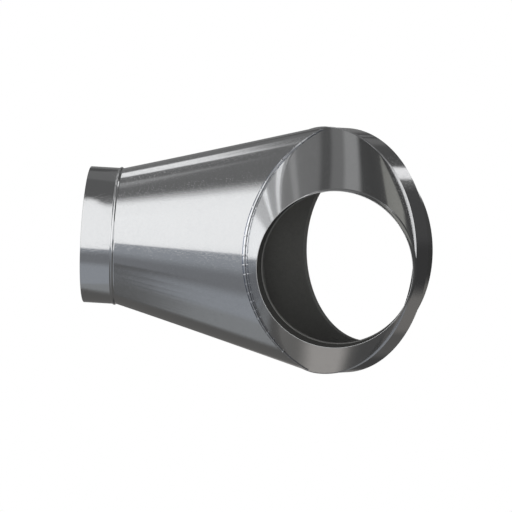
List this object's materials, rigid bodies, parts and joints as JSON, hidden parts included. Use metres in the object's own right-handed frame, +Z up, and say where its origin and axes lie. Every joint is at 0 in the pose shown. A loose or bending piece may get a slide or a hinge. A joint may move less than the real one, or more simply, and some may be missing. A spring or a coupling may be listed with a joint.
{
  "type": "dual duct adapter",
  "caption": "Forked sheet-steel duct adapter that splits a large round duct into equal round branches at a wide angle, with tapered legs, beaded collars and lapped seams.",
  "frame": {"origin": "centre of the main opening's rim, where the main duct ends", "axes": "+Y points out of the main opening, +Z is up as in the picture, both branch axes lie in the XY plane and mirror each other across X"},
  "size_m": [1.0472, 0.5758, 0.5424],
  "materials": {
    "leg_sheet": "galvanised sheet, smooth, faint spangle",
    "strip_sheet": "galvanised sheet, smooth, spot welded",
    "collar_sheet": "galvanised sheet, smooth, faint spangle",
    "ring_sheet": "galvanised sheet, smooth, faint spangle",
    "reducer_sheet": "galvanised sheet, smooth, faint spangle"
  },
  "bodies": {
    "root": {"side_branch_leg": "leg_sheet", "front_branch_leg": "leg_sheet", "crotch_strip": "strip_sheet", "side_branch_collar": "collar_sheet", "front_branch_collar": "collar_sheet", "junction_ring": "ring_sheet", "main_reducer": "reducer_sheet"}
  },
  "joints": []
}
